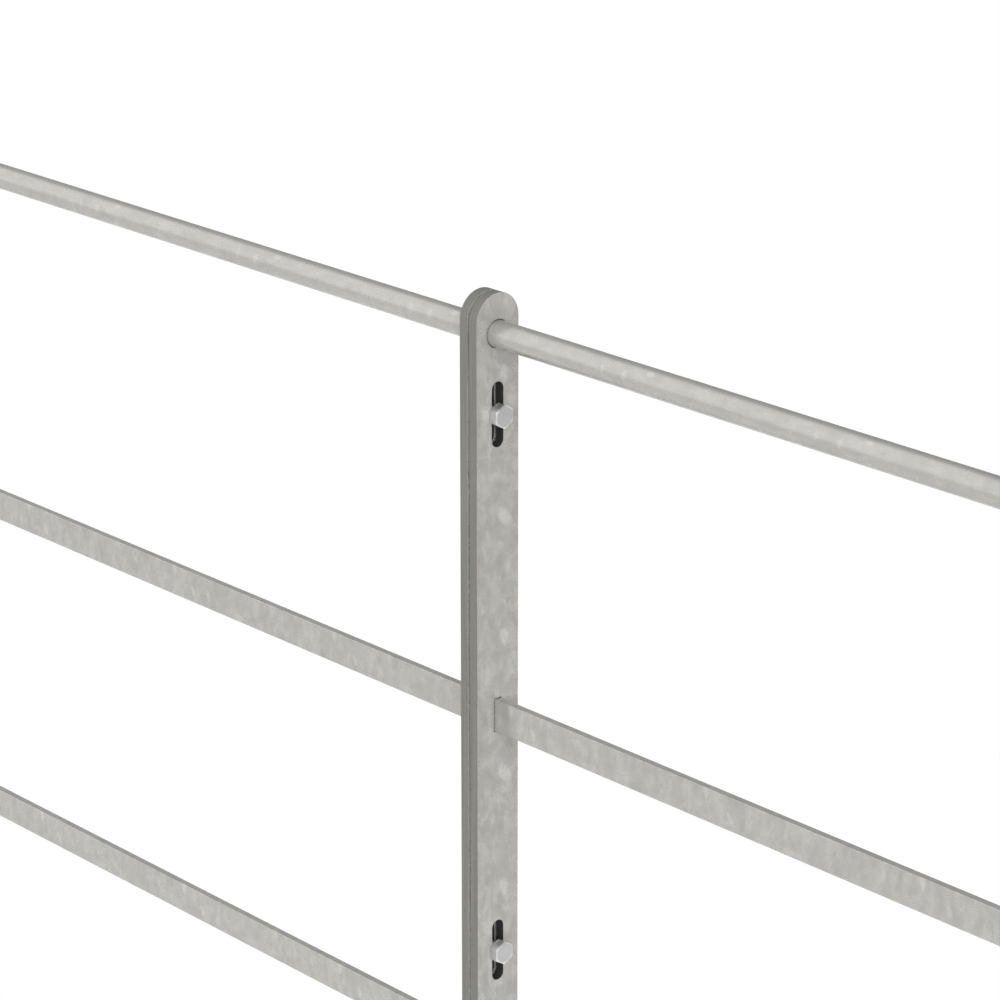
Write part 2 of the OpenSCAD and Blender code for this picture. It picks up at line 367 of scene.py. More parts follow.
# How far the streaks are drawn out along each kind of bar, and how strong its clouds are.
barPatterns = {
    "post": {"stretch": (1.0, 1.0, 0.6), "contrast": 1.25, "flecks": postFlecks},
    "flat": {"stretch": (1.0, 1.0, 0.35), "contrast": 1.0, "flecks": flatFlecks},
    "round": {"stretch": (0.4, 1.0, 1.0), "contrast": 0.6, "flecks": roundFlecks},
}


# Where a point lies on its bar's repeating pattern, in millimetres.
def patternPlace(tree, kind, place):
    repeat = galvanisedLook["repeat"]
    split = put(tree, "ShaderNodeSeparateXYZ", {0: vectorNode(tree, "SCALE", place, 1 / mm)})
    along, across, up = split.outputs
    if kind == "post":
        first = across
        second = mathNode(tree, "FLOORED_MODULO", mathNode(tree, "SUBTRACT", postTop, up), repeat)
    else:
        first = mathNode(tree, "FLOORED_MODULO", mathNode(tree, "SUBTRACT", along, jointX), repeat)
    if kind == "flat":
        second = meshMark(tree, "high")
    if kind == "round":
        above = mathNode(tree, "SUBTRACT", up, railHeights[1])
        angle = mathNode(tree, "ARCTAN2", above, mathNode(tree, "MULTIPLY", across, -1.0))
        second = mathNode(tree, "MULTIPLY", angle, roundRadius)
    return put(tree, "ShaderNodeCombineXYZ", {0: first, 1: second, 2: 0.0}).outputs[0]


# The largest mask of all the flecks at a place on the pattern.
def fleckMask(tree, pattern, flecks):
    mask = 0.0
    for fleck in flecks:
        inputs = {"Place": pattern, "Middle": (*fleck["middle"], 0.0), "Half": (*fleck["half"], 1.0),
                  "Turn": math.radians(fleck.get("turn", 0.0)), "Taper": fleck.get("taper", 0.0),
                  "Paleness": fleck["paleness"]}
        node = put(tree, "ShaderNodeGroup", inputs, node_tree=groups["fleck"])
        mask = mathNode(tree, "MAXIMUM", node.outputs["Mask"], mask)
    return mask


# 1 where light is painted on the faces that meet in the gap at the joint: a band along the fence, times a
# fade by the distance from the bar's middle line, or from the middle of its round top.
def paintedGapLightMask(tree, place):
    joint = galvanisedLook["joint"]
    split = put(tree, "ShaderNodeSeparateXYZ", {0: place})
    along = mathNode(tree, "MULTIPLY", split.outputs[0], 1 / mm)
    after = mapRange(tree, along, joint["from"], joint["from"] + joint["soft"])
    before = mapRange(tree, along, joint["to"] - joint["soft"], joint["to"], 1.0, 0.0)
    above = mathNode(tree, "SUBTRACT", split.outputs[2], (postTop - postHalf) * mm)
    above = mathNode(tree, "MAXIMUM", above, 0.0)
    fromMiddle = put(tree, "ShaderNodeCombineXYZ", {0: split.outputs[1], 1: above, 2: 0.0}).outputs[0]
    reach = mathNode(tree, "MULTIPLY", vectorNode(tree, "LENGTH", fromMiddle), 1 / mm)
    inside = mapRange(tree, reach, postHalf - joint["rim"], postHalf, 1.0, 0.0)
    return mathNode(tree, "MULTIPLY", mathNode(tree, "MULTIPLY", after, before), inside)


# Galvanised steel: clouds and streaks move the body colour towards dark and pale, and flecks make it paler.
def galvanisedMaterial(kind):
    look, grain, pattern = galvanisedLook, zincGrain, barPatterns[kind]
    material, tree = newMaterial("galvanised" + kind.capitalize())
    place = put(tree, "ShaderNodeTexCoord").outputs["Object"]
    clouds = put(tree, "ShaderNodeGroup", {"Vector": place, "Stretch": pattern["stretch"]},
                 node_tree=groups["clouds"])
    skin = put(tree, "ShaderNodeGroup", {"Vector": place}, node_tree=groups["skin"])
    cloudTone = mathNode(tree, "MULTIPLY", clouds.outputs["Clouds"], grain["cloudShare"])
    tone = mathNode(tree, "MULTIPLY_ADD", clouds.outputs["Streaks"], grain["streakShare"], cloudTone)
    spread = [pattern["contrast"] * (body - dark) for body, dark in zip(look["body"], look["dark"])]
    darkest = [body - part for body, part in zip(look["body"], spread)]
    palest = [body + part for body, part in zip(look["body"], spread)]
    colour = mixColour(tree, tone, darkest, palest)
    flecks = fleckMask(tree, patternPlace(tree, kind, place), pattern["flecks"])
    colour = mixColour(tree, flecks, colour, look["pale"])
    rough = mapRange(tree, tone, 0.0, 1.0, look["roughness"] + look["roughnessSpread"],
                     look["roughness"] - look["roughnessSpread"], smooth=False)
    metallic = look["metallic"]
    # painted light: the flat rails' tops are made brighter in colour, standing in for the light from above
    if kind == "flat":
        paintedTopLight = mapRange(tree, meshMark(tree, "high"), look["topLightFrom"], look["topLightTo"])
        colour = paintLightGain(tree, paintedTopLight, colour, look["paintedTopLightGain"])
    if kind == "post":
        side, hole = meshMark(tree, "side"), meshMark(tree, "hole")
        drawn = vectorNode(tree, "MULTIPLY", place, look["sideStreak"])
        lines = put(tree, "ShaderNodeTexNoise", {"Vector": drawn, **look["sideNoise"]}).outputs["Fac"]
        low, high = ([k * part for part in look["narrow"]] for k in look["sideTones"])
        streaked = mixColour(tree, mapRange(tree, lines, look["sideLow"], look["sideHigh"]), low, high)
        colour = mixColour(tree, side, colour, streaked)
        # painted shade: the holes' walls and rims are coloured near black
        colour = mixColour(tree, hole, colour, look["hole"])
        # painted light: the faces in the gap between the joint posts are made brighter
        colour = paintLightGain(tree, paintedGapLightMask(tree, place), colour, look["joint"]["gain"])
        dull = mathNode(tree, "MAXIMUM", side, hole)
        metallic = mapRange(tree, dull, 0.0, 1.0, look["metallic"], look["narrowMetallic"], smooth=False)
        rough = mixValue(tree, dull, rough, look["narrowRoughness"])
    shader = put(tree, "ShaderNodeBsdfPrincipled", {"Base Color": colour, "Metallic": metallic,
                                                    "Roughness": rough, "Normal": skin.outputs["Normal"]})
    put(tree, "ShaderNodeOutputMaterial", {"Surface": shader.outputs[0]})
    return material


zincPlateLook = {
    "tone": 0.75,
    "shade": 0.95,             # the clouds' dark tone is this share of the tone
    "cloudScale": 180.0,
    "roughness": 0.40,
    "chamferTone": 0.92,       # the turned cones at the corners are brighter and smoother
    "chamferRoughness": 0.28,
}


# Zinc plate on the fasteners: bright neutral metal with a faint cloudy change.
def zincPlateMaterial():
    look = zincPlateLook
    material, tree = newMaterial("zincPlate")
    place = put(tree, "ShaderNodeTexCoord").outputs["Object"]
    clouds = put(tree, "ShaderNodeGroup", {"Vector": place, "Cloud Scale": look["cloudScale"]},
                 node_tree=groups["clouds"])
    low, high = look["tone"] * look["shade"], look["tone"] * (2 - look["shade"])
    colour = mixColour(tree, clouds.outputs["Clouds"], (low,) * 3, (high,) * 3)
    chamfer = meshMark(tree, "chamfer")
    colour = mixColour(tree, chamfer, colour, (look["chamferTone"],) * 3)
    rough = mapRange(tree, chamfer, 0.0, 1.0, look["roughness"], look["chamferRoughness"], smooth=False)
    shader = put(tree, "ShaderNodeBsdfPrincipled",
                 {"Base Color": colour, "Metallic": 1.0, "Roughness": rough})
    put(tree, "ShaderNodeOutputMaterial", {"Surface": shader.outputs[0]})
    return material


postSteel, flatSteel, roundSteel = (galvanisedMaterial(kind) for kind in ("post", "flat", "round"))
zincPlate = zincPlateMaterial()
print("materials made")

post = {
    "edge": 0.25,         # rounding of the bar's long edges
    "rim": 0.2,           # rounding of the punched holes
    "hold": 0.15,         # flat ring that keeps a rounding from bending the flat beside it
    "gap": 0.5,           # gap round a rail in the open part of its hole
    "seat": 2.0,          # depth over which the rail fills its hole
    "across": 17,         # points across a face panel
    "upStep": 9.0,        # distance between points up the sides
    "leastUp": 7,         # points up the side of a panel, at least
    "arcPoints": 49,      # points over the round top
    "edgePoints": 6,
    "rimPoints": 5,
    "panelRings": 5,      # rings from a hole to the edge of its panel
    "holeShadeFrom": 0.03,     # depth at which the painted shade of a hole begins
    "holeShadeSoft": 0.12,     # and over which it deepens
    "sideGain": 1.4,      # how soon the narrow sides' tone sets in over the rounded edge
}


# The four sides of a rectangle, anticlockwise from its lower left corner, the same count on opposite sides.
def rectangleLoop(halfWidth, low, high, across, up):
    y = np.linspace(-halfWidth, halfWidth, across)
    z = np.linspace(low, high, up)
    bottom = np.stack([y, np.full(across, low)], -1)[:-1]
    right = np.stack([np.full(up, halfWidth), z], -1)[:-1]
    top = np.stack([y[::-1], np.full(across, high)], -1)[:-1]
    left = np.stack([np.full(up, -halfWidth), z[::-1]], -1)[:-1]
    return np.concatenate([bottom, right, top, left])


# An upright slot: half circles below and above, straight sides between them.
def slotLoop(halfWidth, halfStraight, middle, across, up):
    lower = np.linspace(math.pi, 2 * math.pi, across)[:-1]
    upper = np.linspace(0, math.pi, across)[:-1]
    z = np.linspace(-halfStraight, halfStraight, up)[:-1]
    bottom = np.stack([halfWidth * np.cos(lower), -halfStraight + halfWidth * np.sin(lower)], -1)
    right = np.stack([np.full(len(z), halfWidth), z], -1)
    top = np.stack([halfWidth * np.cos(upper), halfStraight + halfWidth * np.sin(upper)], -1)
    left = np.stack([np.full(len(z), -halfWidth), -z], -1)
    return np.concatenate([bottom, right, top, left]) + [0, middle]


# A circle cut at the four angles that face the corners of its panel.
def circleLoop(radius, middle, cuts, counts):
    angles = np.concatenate([np.linspace(a, b, n)[:-1] for a, b, n in zip(cuts[:-1], cuts[1:], counts)])
    return np.stack([radius * np.cos(angles), middle + radius * np.sin(angles)], -1)


# A bar with a round top, anticlockwise from its lower left corner: along the foot, up one side, over a half
# circle and down the other side.
def archLoop(halfWidth, y, foot, z, roundZ):
    arc = np.linspace(0, math.pi, post["arcPoints"])
    return np.concatenate([
        np.stack([y, np.full(len(y), foot)], -1)[:-1],
        np.stack([np.full(len(z), halfWidth), z], -1),
        np.stack([halfWidth * np.cos(arc), roundZ + halfWidth * np.sin(arc)], -1),
        np.stack([np.full(len(z), -halfWidth), z], -1)[::-1][:-1]])


# The outline of a slot or of a flat rail's hole at a height, with its size grown by grow on every side.
def holeLoop(kind, z, grow, across, up):
    if kind == "slot":
        return slotLoop(slotSize[0] / 2 + grow, (slotSize[1] - slotSize[0]) / 2, z, across, up)
    low, high = z - flatSize[1] / 2 - grow, z + flatSize[1] / 2 + grow
    return rectangleLoop(flatSize[0] / 2 + grow, low, high, across, up)


# The wall of a punched hole from face to face: pairs of growth beyond the seat's outline and place along X.
def holeProfile(half, openSides):
    gap, seat, rim, hold = post["gap"], post["seat"], post["rim"], post["hold"]
    t = np.linspace(0, math.pi / 2, post["rimPoints"])
    plusGap = gap if "plus" in openSides else 0.0
    minusGap = gap if "minus" in openSides else 0.0
    plusRim = np.stack([plusGap + rim * (1 - np.sin(t)), half - rim * (1 - np.cos(t))], -1)
    minusRim = np.stack([minusGap + rim * (1 - np.sin(t)), -half + rim * (1 - np.cos(t))], -1)[::-1]
    line = [[[plusGap + rim + hold, half]], plusRim]
    if plusGap:
        step = -half + seat if not minusGap else seat / 2
        line.append([[plusGap, step], [0.0, step]])
    if minusGap:
        step = half - seat if not plusGap else -seat / 2
        line.append([[0.0, step], [minusGap, step]])
    line += [minusRim, [[minusGap + rim + hold, -half]]]
    return np.concatenate([np.asarray(part, float) for part in line])


# Both faces of a panel, as straight blends from the hole's ring to the panel's edge, and the hole's wall.
def panelPatches(outer, wall, profile, half, middleX):
    depth = profile[:, 1]
    x = np.broadcast_to(depth[:, None, None], (*wall.shape[:2], 1)) + middleX
    # painted shade: the mark hole is 1 over the wall and most of its rounded rims
    mark = np.clip((half - post["holeShadeFrom"] - np.abs(depth)) / post["holeShadeSoft"], 0, 1)[:, None]
    patches = [{"points": np.concatenate([x, wall], -1), "closeColumns": True, "flip": True, "hole": mark}]
    blend = np.linspace(0, 1, post["panelRings"])[:, None, None]
    for sign, ring in ((1, wall[0]), (-1, wall[-1])):
        face = ring[None] * (1 - blend) + outer[None] * blend
        x = np.full((*face.shape[:2], 1), sign * half + middleX)
        patches.append({"points": np.concatenate([x, face], -1), "closeColumns": True, "flip": sign > 0})
    return patches


# The band round a post: blends between an outline at the flats' edge and one at the bar's full size, along a
# profile from face to face that rounds both edges.
def bandPatch(half, middleX, halfWidth, y, sideZ, roundZ):
    edge, hold = post["edge"], post["hold"]
    inset = edge + hold
    inner = archLoop(halfWidth - inset, y, inset, sideZ, roundZ)
    fullY = np.concatenate([[-halfWidth], y[1:-1], [halfWidth]])
    fullZ = np.concatenate([[0.0], sideZ[1:]])
    full = archLoop(halfWidth, fullY, 0.0, fullZ, roundZ)
    t = np.linspace(0, math.pi / 2, post["edgePoints"])
    plus = np.stack([(hold + edge * np.sin(t)) / inset, half - edge * (1 - np.cos(t))], -1)
    profile = np.concatenate([[[0.0, half]], plus, [[1.0, half - edge - hold]]])
    profile = np.concatenate([profile, (profile * [1, -1])[::-1]])
    ring = inner[:, None] + (full - inner)[:, None] * profile[None, :, :1]
    x = np.broadcast_to(profile[None, :, 1:], (*ring.shape[:2], 1)) + middleX
    side = np.clip(post["sideGain"] * (profile[:, 0] * inset - hold) / edge, 0, 1) ** 2
    return {"points": np.concatenate([x, ring], -1), "closeRows": True, "side": side[None, :]}


# How many points a panel has up its side.
def countUp(low, high):
    return max(post["leastUp"], int((high - low) / post["upStep"]) + 1)


# One post: face panels that each ring one hole, the walls of the holes, and a rounded band along the outline.
def makePost(node, openSides, slotted):
    lo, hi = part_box(node)
    half, middleX = (hi.x - lo.x) / 2 / mm, (hi.x + lo.x) / 2 / mm
    halfWidth, railZ = (hi.y - lo.y) / 2 / mm, railHeights[1]
    roundZ = hi.z / mm - halfWidth
    across, inset = post["across"], post["edge"] + post["hold"]
    features = [("rail", railHeights[k]) for k in (5, 4, 3, 2)]
    if slotted:
        features += [("slot", z) for z in boltHeights]
    features.sort(key=lambda feature: feature[1])
    # the panels meet half way between their holes
    lastTop = features[-1][1] + (slotSize[1] if slotted else flatSize[1]) / 2
    breaks = [inset] + [(a[1] + b[1]) / 2 for a, b in zip(features[:-1], features[1:])]
    breaks.append((lastTop + railZ - roundRadius) / 2)
    patches, sideZ = [], []
    for (kind, z), low, high in zip(features, breaks[:-1], breaks[1:]):
        up = countUp(low, high)
        sideZ.append(np.linspace(low, high, up)[:-1])
        profile = holeProfile(half, openSides if kind == "rail" else ())
        wall = np.stack([holeLoop(kind, z, grow, across, up) for grow in profile[:, 0]])
        outer = rectangleLoop(halfWidth - inset, low, high, across, up)
        patches += panelPatches(outer, wall, profile, half, middleX)
    # the top panel rings the round rail's hole
    low, up = breaks[-1], countUp(breaks[-1], roundZ)
    y = np.linspace(-(halfWidth - inset), halfWidth - inset, across)
    z = np.linspace(low, roundZ, up)[:-1]
    sideZ.append(z)
    lowAngle, highAngle = (math.atan2(height - railZ, halfWidth) for height in (low, roundZ))
    cuts = [-math.pi - lowAngle, lowAngle, highAngle, math.pi - highAngle, math.pi - lowAngle]
    counts = [across, up, post["arcPoints"], up]
    profile = holeProfile(half, openSides)
    wall = np.stack([circleLoop(roundRadius + grow, railZ, cuts, counts) for grow in profile[:, 0]])
    outer = archLoop(halfWidth - inset, y, low, z, roundZ)
    patches += panelPatches(outer, wall, profile, half, middleX)
    patches.append(bandPatch(half, middleX, halfWidth, y, np.concatenate(sideZ), roundZ))
    piece = meshFromPatches(node + "_bar", patches, postSteel, ("side", "hole"))
    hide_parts(node)
    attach(piece, "root")
    return piece


posts = [
    makePost("right_joint_post", ("plus",), True),
    makePost("right_mid_upright", ("plus", "minus"), False),
    makePost("right_end_post", ("minus",), True),
    makePost("left_joint_post", ("minus",), True),
    makePost("left_mid_upright", ("plus", "minus"), False),
    makePost("left_end_post", ("plus",), True),
]
print("posts made:", [len(piece.data.polygons) for piece in posts])

flatRail = {
    "edge": 0.5,           # rounding along the bar
    "hold": 0.15,          # flat strip beside that rounding
    "end": 0.5,            # rounding of its two ends
    "stations": 24,        # rings between the ends
    "firstStation": 2.0,   # distance of the first and last ring from the ends
    "capRing": 0.02,       # size of the small ring in the middle of an end
    "edgePoints": 5,
    "endPoints": 4,
    "topFactor": 3,        # the mark high is times this on the top and bottom, to tell them from the faces where the tops get painted light
}


# A flat rail: a rectangle with rounded corners carried along X, drawn in at both ends to round them too. The
# mark high is the height above the rail's middle.
def makeFlatRail(node):
    lo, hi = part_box(node)
    halfY, halfZ = (hi.y - lo.y) / 2 / mm, (hi.z - lo.z) / 2 / mm
    middle, x0, x1 = (hi.z + lo.z) / 2 / mm, lo.x / mm, hi.x / mm
    edge, hold, end = flatRail["edge"], flatRail["hold"], flatRail["end"]
    t = np.linspace(0, math.pi / 2, flatRail["edgePoints"])
    corner = np.stack([np.cos(t), np.sin(t)], -1) * edge
    section = []
    for signY, signZ, order in ((1, 1, 1), (-1, 1, -1), (-1, -1, 1), (1, -1, -1)):
        turned = corner[::order] * [signY, signZ]
        arc = turned + [signY * (halfY - edge), signZ * (halfZ - edge)]
        along = np.stack([-turned[:, 1], turned[:, 0]], -1) / edge
        section += [arc[:1] - along[:1] * hold, arc, arc[-1:] + along[-1:] * hold]
    section = np.concatenate(section)
    turn = np.linspace(0, math.pi / 2, flatRail["endPoints"])
    inward, drawn = end * (1 - np.sin(turn)), end * (1 - np.cos(turn))
    first = flatRail["firstStation"]
    straight = np.linspace(x0 + first, x1 - first, flatRail["stations"])
    stations = np.concatenate([x0 + inward[::-1], straight, x1 - inward])
    drawIn = np.concatenate([drawn[::-1], np.zeros(len(straight)), drawn])
    shrink = np.stack([(halfY - drawIn) / halfY, (halfZ - drawIn) / halfZ], -1)
    rings = section[None] * shrink[:, None] + [0, middle]
    x = np.broadcast_to(stations[:, None, None], (*rings.shape[:2], 1))
    body = np.concatenate([x, rings], -1)
    patches = [{"points": body, "closeColumns": True}]
    for row, flip in ((body[0], True), (body[-1], False)):
        centre = row.mean(0)
        small = row * flatRail["capRing"] + centre * (1 - flatRail["capRing"])
        point = np.broadcast_to(centre, small.shape)
        patches.append({"points": np.stack([row, small]), "closeColumns": True, "flip": flip})
        patches.append({"points": np.stack([small, point]), "closeColumns": True, "flip": flip})
    for patch in patches:
        high = patch["points"][..., 2] - middle
        patch["high"] = np.where(np.abs(high) > halfZ - 0.01, flatRail["topFactor"] * high, high)
    piece = meshFromPatches(node + "_bar", patches, flatSteel, ("high",))
    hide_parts(node)
    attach(piece, "root")
    return piece


roundRail = {
    "edge": 0.6,           # rounding of its two ends
    "around": 72,
    "stations": 24,
    "firstStation": 2.0,
}


# A surface of revolution about an X axis at a height: a line of radius and place, turned round.
def revolve(line, around, height, closeLine=False):
    angle = np.linspace(0, 2 * math.pi, around, endpoint=False)
    radius, x = line[:, 0][:, None], line[:, 1][:, None]
    points = np.stack([np.broadcast_to(x, (len(line), around)), radius * np.cos(angle)[None],
                       height + radius * np.sin(angle)[None]], -1)
    return {"points": points, "closeColumns": True, "closeRows": closeLine}


# The round rail: a straight line turned about the rail's axis, its two ends rounded over.
def makeRoundRail(node):
    lo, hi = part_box(node)
    radius, middle = (hi.z - lo.z) / 2 / mm, (hi.z + lo.z) / 2 / mm
    x0, x1, edge = lo.x / mm, hi.x / mm, roundRail["edge"]
    line = np.array([[0, x0], [radius, x0], [radius, x1], [0, x1]], float)
    line = roundCorners(line, [0, edge, edge, 0])
    first = roundRail["firstStation"]
    stations = np.linspace(x0 + first, x1 - first, roundRail["stations"])
    straight = np.stack([np.full(len(stations), radius), stations], -1)
    line = np.concatenate([line[:len(line) // 2], straight, line[len(line) // 2:]])
    piece = meshFromPatches(node + "_bar", [revolve(line, roundRail["around"], middle)], roundSteel)
    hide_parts(node)
    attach(piece, "root")
    return piece


rails = [makeFlatRail(f"{side}_rail_{k}") for side in ("right", "left") for k in (2, 3, 4, 5)]
rails += [makeRoundRail(f"{side}_rail_1") for side in ("right", "left")]
print("rails made:", [len(piece.data.polygons) for piece in rails])

# What bolt heads and nuts share.
hexagon = {
    "apothem": 8.0,        # half the width across the flats
    "roundness": 80,       # the higher, the sharper the corners between the flats
    "perFlat": 14,         # points along a flat
    "faceRadius": 7.4,     # radius of the flat face inside the turned chamfer
    "slope": 22.0,         # slope of that chamfer against the face
    "chamferSoft": 0.1,    # the chamfer's mark ends within about this distance of the cone
    "faceEdge": 0.2,       # reach of the rounding between face and chamfer
    "flatEdge": 0.18,      # and between chamfer and flats
}
chamferSlope = math.tan(math.radians(hexagon["slope"]))


# Angles round a hexagon, closer together at its corners, from the corner at the start of each flat.
def hexAngles(turn):
    step = np.linspace(-0.5, 0.5, hexagon["perFlat"], endpoint=False)
    within = math.radians(30) * np.sin(math.pi * step)
    return np.concatenate([within + math.radians(60 * k) for k in range(6)]) + turn


# Radius of a hexagon at an angle: the flats' cosines to a high power are summed, which rounds the corners.
def hexRadius(angles, turn):
    facing = np.cos(angles[None] - turn - np.radians(60 * np.arange(6))[:, None])
    total = (np.clip(facing, 0, None) ** hexagon["roundness"]).sum(0)
    return hexagon["apothem"] * total ** (-1 / hexagon["roundness"])


# One line of (radius, place) for each angle. A pair's values are numbers, or run with the angles.
def linesAt(pairs, angles):
    ones = np.ones_like(angles)
    return np.stack([np.stack([radius * ones, x * ones], -1) for radius, x in pairs], 1)


# Turns a sheet of (radius, place) lines, one for each angle, into points about an X axis at a height.
def turnedPoints(lines, angles, height):
    radius, x = lines[..., 0], lines[..., 1]
    return np.stack([x, radius * np.cos(angles)[:, None], height + radius * np.sin(angles)[:, None]], -1)


# How far a point lies on a chamfer: 1 on the cone, and falling with the distance from it just beside it.
def onChamfer(lines, faceX, inward):
    radius, x = lines[..., 0], lines[..., 1]
    coneX = faceX + inward * (radius - hexagon["faceRadius"]) * chamferSlope
    mark = np.clip(1.5 - np.abs(x - coneX) / hexagon["chamferSoft"], 0, 1)
    return mark * (radius > hexagon["faceRadius"])


bolt = {
    "headHeight": 7.9,     # a little more than the plain solids', and the heads are turned on both sides
    "faceRing": 0.6,       # size of a ring on the face, as a share of its radius
    "faceEdge": 0.22,      # reach of the rounding between face and chamfer
    "shank": 5.0,          # radius
    "neck": 1.05,          # the head's inner ring against the shank
    "threadPitch": 1.5,
    "threadDepth": 0.9,
    "perTurn": 10,         # points along one pitch
    "flank": 1.25,         # how steep the thread's flanks are
    "rootFlat": 0.12,      # how wide its root is
    "play": 0.02,          # the crests stay this much inside the shank's radius
    "tip": {               # over its length the thread gets thinner, and inset below the root is the flat end
        "length": 1.2,
        "least": 0.25,
        "drop": 0.6,
        "rise": 1.5,
        "inset": 0.7,
        "end": 0.2,
    },
}


# A bolt: face, chamfer cone and flats of the head, the same cone under it, then the thread. Its radius rises
# and falls as the place along the shank, less the turn, runs through one pitch.
def makeBolt(number):
    node = f"coupling_bolt_{number}"
    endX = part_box(node)[0].x / mm
    faceX = postFace + bolt["headHeight"]
    angles = hexAngles(0.0)
    radius = hexRadius(angles, 0.0)
    cone, shank, pitch, depth = hexagon["faceRadius"], bolt["shank"], bolt["threadPitch"], bolt["threadDepth"]
    drop = (radius - cone) * chamferSlope
    head = linesAt([(0, faceX), (cone * bolt["faceRing"], faceX), (cone, faceX), (radius, faceX - drop),
                    (radius, postFace + drop), (cone, postFace), (shank * bolt["neck"], postFace)], angles)
    flatEdge = hexagon["flatEdge"]
    head = roundCorners(head, [0, 0.01, bolt["faceEdge"], flatEdge, flatEdge, hexagon["faceEdge"], 0])
    tip, root = bolt["tip"], shank - depth
    threadEnd = endX + tip["end"]
    x = np.linspace(postFace, threadEnd, int((postFace - threadEnd) / pitch * bolt["perTurn"]))
    phase = (x[None] / pitch - angles[:, None] / (2 * math.pi)) % 1.0
    wave = np.clip(np.abs(phase - 0.5) * 2 * bolt["flank"] - bolt["rootFlat"], 0, 1)
    taper = np.clip((x - endX) / tip["length"], tip["least"], 1.0)
    threadRadius = np.minimum(shank - bolt["play"] - depth * (1 - wave),
                              root - tip["drop"] + tip["rise"] * taper[None])
    thread = np.stack([threadRadius, np.broadcast_to(x, threadRadius.shape)], -1)
    lines = np.concatenate([head, thread, linesAt([(root - tip["inset"], endX), (0, endX)], angles)], 1)
    chamfer = np.maximum(onChamfer(lines, faceX, -1), onChamfer(lines, postFace, 1))
    points = turnedPoints(lines, angles, boltHeights[number - 1])
    patch = {"points": points, "closeRows": True, "chamfer": chamfer}
    piece = meshFromPatches(node + "_threaded", [patch], zincPlate, ("chamfer",))
    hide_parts(node)
    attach(piece, "root")
    return piece


nut = {
    "turns": (14.0, 22.0, 5.0),    # how far each nut is turned, from the top one down
    "bore": 4.55,
    "mouth": 5.35,                 # radius of the cone at both ends of the bore
    "mouthDepth": 0.8,
    "mouthEdge": 0.15,             # reach of the rounding at its rim
}


# A nut: one closed loop of radius and place for each angle, along a face, over both cones and up the bore.
def makeNut(number):
    node = f"coupling_nut_{number}"
    lo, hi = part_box(node)
    x0, x1 = lo.x / mm, hi.x / mm
    turn = math.radians(nut["turns"][number - 1])
    angles = hexAngles(turn)
    radius = hexRadius(angles, turn)
    cone, bore, mouth, depth = hexagon["faceRadius"], nut["bore"], nut["mouth"], nut["mouthDepth"]
    drop = (radius - cone) * chamferSlope
    lines = linesAt([(bore, x1 - depth), (mouth, x1), (cone, x1), (radius, x1 - drop), (radius, x0 + drop),
                     (cone, x0), (mouth, x0), (bore, x0 + depth)], angles)
    outward = [0, nut["mouthEdge"], hexagon["faceEdge"], hexagon["flatEdge"]]
    lines = roundCorners(lines, outward + outward[::-1])
    chamfer = np.maximum(onChamfer(lines, x0, 1), onChamfer(lines, x1, -1))
    points = turnedPoints(lines, angles, boltHeights[number - 1])
    patch = {"points": points, "closeRows": True, "closeColumns": True, "chamfer": chamfer}
    piece = meshFromPatches(node + "_hexagon", [patch], zincPlate, ("chamfer",))
    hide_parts(node)
    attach(piece, "root")
    return piece


washer = {
    "bore": 5.25,
    "outerEdge": 0.3,      # reach of the rounding at its rim
    "boreEdge": 0.2,
    "around": 64,
}


# A washer: a rounded rectangle of radius and place, turned about the bolt.
def makeWasher(number):
    node = f"coupling_washer_{number}"
    lo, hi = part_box(node)
    x0, x1, outer, bore = lo.x / mm, hi.x / mm, (hi.y - lo.y) / 2 / mm, washer["bore"]
    middle = (bore + outer) / 2
    line = np.array([[middle, x1], [outer, x1], [outer, x0], [bore, x0], [bore, x1], [middle, x1]], float)
    reaches = [0, washer["outerEdge"], washer["outerEdge"], washer["boreEdge"], washer["boreEdge"], 0]
    line = roundCorners(line, reaches)[:-1]
    patch = revolve(line, washer["around"], boltHeights[number - 1], closeLine=True)
    piece = meshFromPatches(node + "_ring", [patch], zincPlate)
    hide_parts(node)
    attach(piece, "root")
    return piece


fasteners = [make(k) for make in (makeBolt, makeNut, makeWasher) for k in (1, 2, 3)]
print("fasteners made:", [len(piece.data.polygons) for piece in fasteners])

studio = {
    "floorHalf": 40.0,
    "floorWhite": 0.97,       # tone of the floor
    "floorFade": {"along": (0.74, 0.67, 0.0), "from": -0.5, "to": 2.0, "tone": 0.55},
    # painted pool of light: in reflections the floor glows brighter near the fence
    "paintedFloorPool": {"from": 1.0, "to": 3.5, "near": 1.20, "far": 1.03},
    "floorLift": 0.85,        # how much of the floor's own white the camera sees over its shading
    "backdropWhite": 1.06,
    "worldWhite": 1.0,
    "softLight": {"direction": (0.858, -0.513, 0.0), "from": 0.474, "to": 1.074, "level": 5.2},
    "aroundLevel": 0.578,     # the light from elsewhere
    "above": {"from": 0.1, "to": 0.9, "share": 0.74},    # share of the light that is left straight above
    "window": {"direction": (-0.70, -0.25, 0.66), "from": 0.30, "to": 0.80, "level": 0.55},
    "dimWall": {"direction": (-0.70, 0.63, 0.33), "from": 0.76, "to": 0.95, "level": 0.30},
    "dimRight": {"direction": (0.76, 0.42, 0.48), "from": 0.82, "to": 0.94, "level": 0.28},
}
